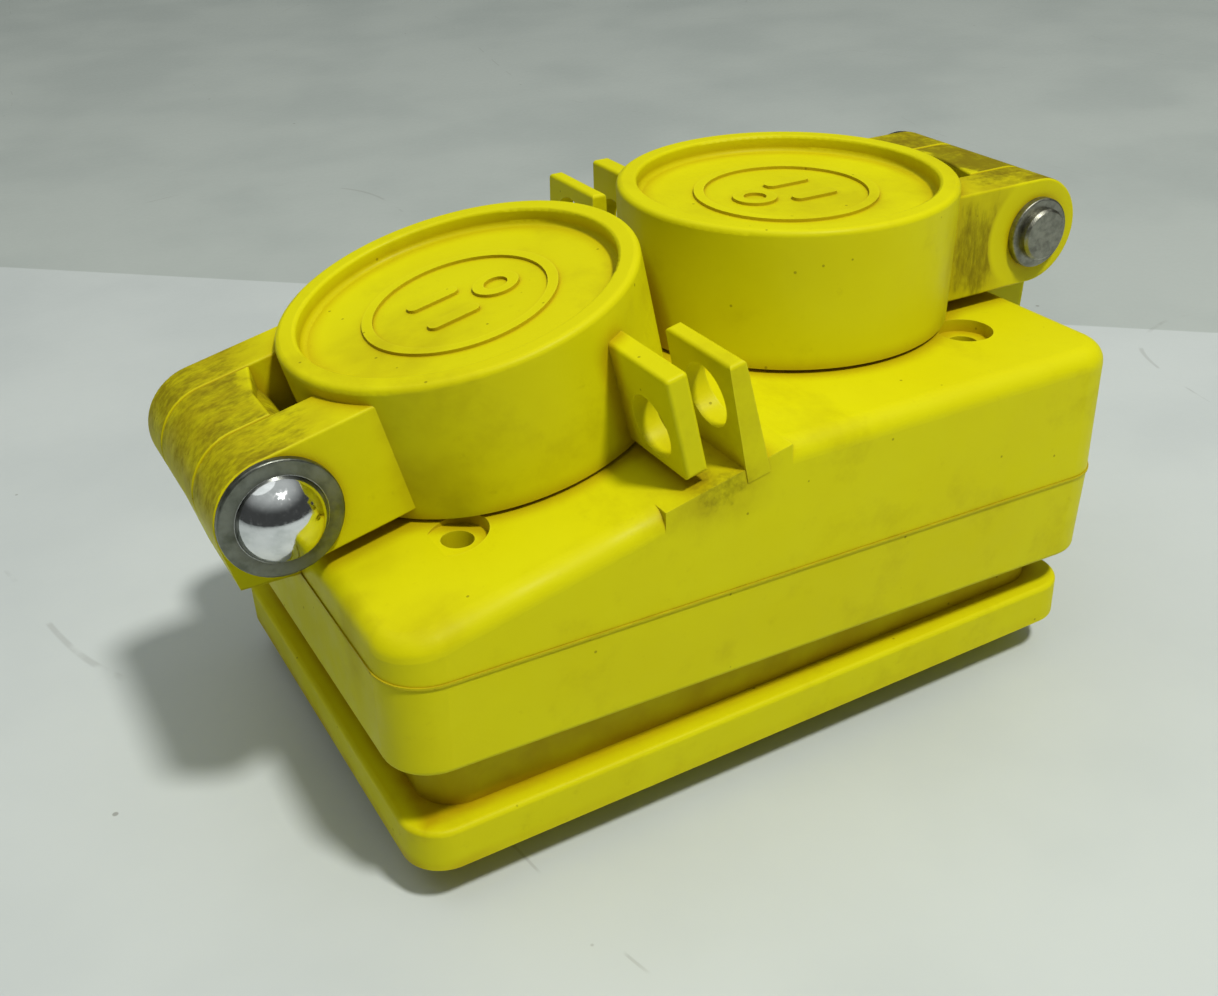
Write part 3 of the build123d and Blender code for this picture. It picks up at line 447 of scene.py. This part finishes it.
def paint_right_lid():
    ear_side = beyond(RIGHT_HINGE, WIPED_RING_R, smudge(RIGHT_EAR_SIDE, 14, (1, 0.6, 0.8)))
    smears = [
        Smear(hinge_band(RIGHT_HINGE, EAR_GRIME_END, 0.12), film=0.70, stain=0.72),
        Smear(ear_side, film=0.62, stain=0.66, streak=(0.6, 1, 2.2)),
        Smear(smudge(RIGHT_LID_TOP, 15, (1, 1, 0.3)), film=0.32, stain=0.20),
    ]
    use(yellow_rubber("right_lid_rubber", smears, seed=3), "lid_right")


def paint_plate():
    # the plate gets painted shade beside the neck and along its lower edge
    use(yellow_rubber("plate_rubber", painted_shades=[(plate_shade, 0.6)], seed=4), "mounting_plate")


def paint_other_parts():
    use(chrome_cap(), "pin_caps")
    use(pin_steel(), "hinge_pin_left", "hinge_pin_right", "pin_washers")
    nylon = plastic("outlet_nylon", (0.72, 0.68, 0.58), 0.42)
    use(nylon, "outlet_body_left", "outlet_face_left", "outlet_body_right", "outlet_face_right")
    seal = plastic("seal_rubber", (0.018, 0.018, 0.018), 0.7, grain=0.25, depth=0.02)
    use(seal, "lid_seal_left", "lid_seal_right")
    use(metal("contact_brass", (0.78, 0.58, 0.25), 0.30), "hot_bus", "hot_screws", "terminal_plates")
    use(metal("plain_steel", (0.62, 0.61, 0.58), 0.34), "neutral_bus", "neutral_screws", "ground_bus")
    use(metal("bright_steel", (0.66, 0.66, 0.65), 0.26), "solenoid_frame", "trip_plunger", "button_springs")
    use(metal("ground_green", (0.06, 0.30, 0.11), 0.38), "ground_screw")
    use(plastic("panel_grey", (0.10, 0.10, 0.105), 0.5), "button_panel")
    use(plastic("button_black", (0.016, 0.016, 0.017), 0.40), "test_button")
    use(plastic("button_red", (0.48, 0.025, 0.018), 0.40), "reset_button")
    use(plastic("cover_black", (0.022, 0.022, 0.023), 0.52), "rear_cover")
    use(plastic("part_black", (0.02, 0.02, 0.02), 0.45), "relay", "board_chips")
    use(plastic("varistor_blue", (0.03, 0.12, 0.36), 0.30), "varistor")
    use(plastic("board_green", (0.02, 0.16, 0.06), 0.32), "circuit_board")
    use(plastic("coil_copper", (0.42, 0.14, 0.05), 0.30), "solenoid_coil", "sensing_coil")
    use(plastic("light_green", (0.16, 0.55, 0.2), 0.12), "indicator_light")


# the room


def floor_scratches(paint):
    """Long thin scratches, broken up along their length."""
    level = paint.absolute(paint.minus(paint.noise(110 * MM, 0.6, (1, 2.4, 1), 8), 0.5))
    broken = paint.span(paint.noise(14 * MM, 3, seed=9), 0.52, 0.62)
    return paint.times(paint.span(level, 0.0004, 0.0011, 0.4, 0.0), broken)


def floor_material():
    """Pale painted table, darker beyond the line where the wall would start."""
    paint = Paint("floor_paint", Specular_IOR_Level=0.25)
    start, end = WALL_FOOT
    line = (end - start).normalized()
    away = Vector((-line.y, line.x, 0))
    past = paint.minus(paint.along(away), away.xy.dot(start))
    wall = paint.span(past, -0.4 * MM, 0.4 * MM)
    cloud = paint.span(paint.noise(60 * MM, 4, seed=1), 0.35, 0.7)
    table = paint.mix((0.60, 0.64, 0.625), (0.55, 0.59, 0.58), cloud)
    back = paint.mix((0.48, 0.52, 0.49), (0.43, 0.47, 0.445), cloud)
    dirt = paint.larger(paint.specks(16 * MM, 0.35 * MM, 0.35, 4), floor_scratches(paint))
    paint.put("Base Color", paint.mix(paint.mix(table, back, wall), (0.16, 0.15, 0.12), paint.times(dirt, 0.55)))
    paint.put("Roughness", paint.span(paint.noise(1.5 * MM, 4, seed=2), 0.3, 0.7, 0.45, 0.6))
    return paint.material


def make_floor():
    bpy.ops.mesh.primitive_plane_add(size=FLOOR_SIZE, location=(0, 0, CAD_LOW.z))
    floor = bpy.context.object
    floor.name = "floor"
    floor.data.materials.append(floor_material())


def make_camera():
    data = bpy.data.cameras.new("camera")
    data.lens = CAMERA_LENS
    data.sensor_width = SENSOR_WIDTH
    data.clip_start = 0.01
    data.clip_end = 10
    camera = bpy.data.objects.new("camera", data)
    camera.location = CAMERA_PLACE
    camera.rotation_mode = "QUATERNION"
    aim = (CAMERA_AIM - CAMERA_PLACE).to_track_quat("-Z", "Y")
    camera.rotation_quaternion = aim @ Quaternion((0, 0, 1), CAMERA_ROLL)
    bpy.context.scene.collection.objects.link(camera)
    bpy.context.scene.camera = camera


def area_light(name, direction, distance, size, power, colour):
    """Round light in that direction from the origin, and aimed at it."""
    data = bpy.data.lights.new(name, "AREA")
    data.shape = "DISK"
    data.size = size
    data.energy = power
    data.color = colour
    light = bpy.data.objects.new(name, data)
    light.location = direction.normalized() * distance
    light.rotation_mode = "QUATERNION"
    light.rotation_quaternion = (-light.location).to_track_quat("-Z", "Y")
    bpy.context.scene.collection.objects.link(light)


def make_world():
    """Dim all round, and brighter overhead."""
    world = bpy.data.worlds.new("room")
    bpy.context.scene.world = world
    world.use_nodes = True
    nodes, links = world.node_tree.nodes, world.node_tree.links
    direction = nodes.new("ShaderNodeTexCoord")
    split = nodes.new("ShaderNodeSeparateXYZ")
    ramp = nodes.new("ShaderNodeMapRange")
    ramp.interpolation_type = "SMOOTHSTEP"
    links.new(direction.outputs["Generated"], split.inputs[0])
    links.new(split.outputs["Z"], ramp.inputs["Value"])
    limits = {"From Min": 0.4, "From Max": 0.95, "To Min": ROOM_DARK, "To Max": ROOM_BRIGHT}
    for socket, value in limits.items():
        ramp.inputs[socket].default_value = value
    background = nodes["Background"]
    background.inputs["Color"].default_value = ROOM_COLOUR
    links.new(ramp.outputs[0], background.inputs["Strength"])


def make_light():
    area_light("key", KEY_DIRECTION, distance=1.2, size=0.14, power=10.4, colour=(1.0, 0.99, 0.95))
    area_light("ceiling", CEILING_DIRECTION, distance=1.5, size=1.3, power=2.4, colour=(0.97, 1.0, 0.98))
    make_world()


paint_housing()
paint_left_lid()
paint_right_lid()
paint_plate()
paint_other_parts()
make_floor()
make_camera()
make_light()
bpy.context.scene.view_settings.view_transform = "Standard"
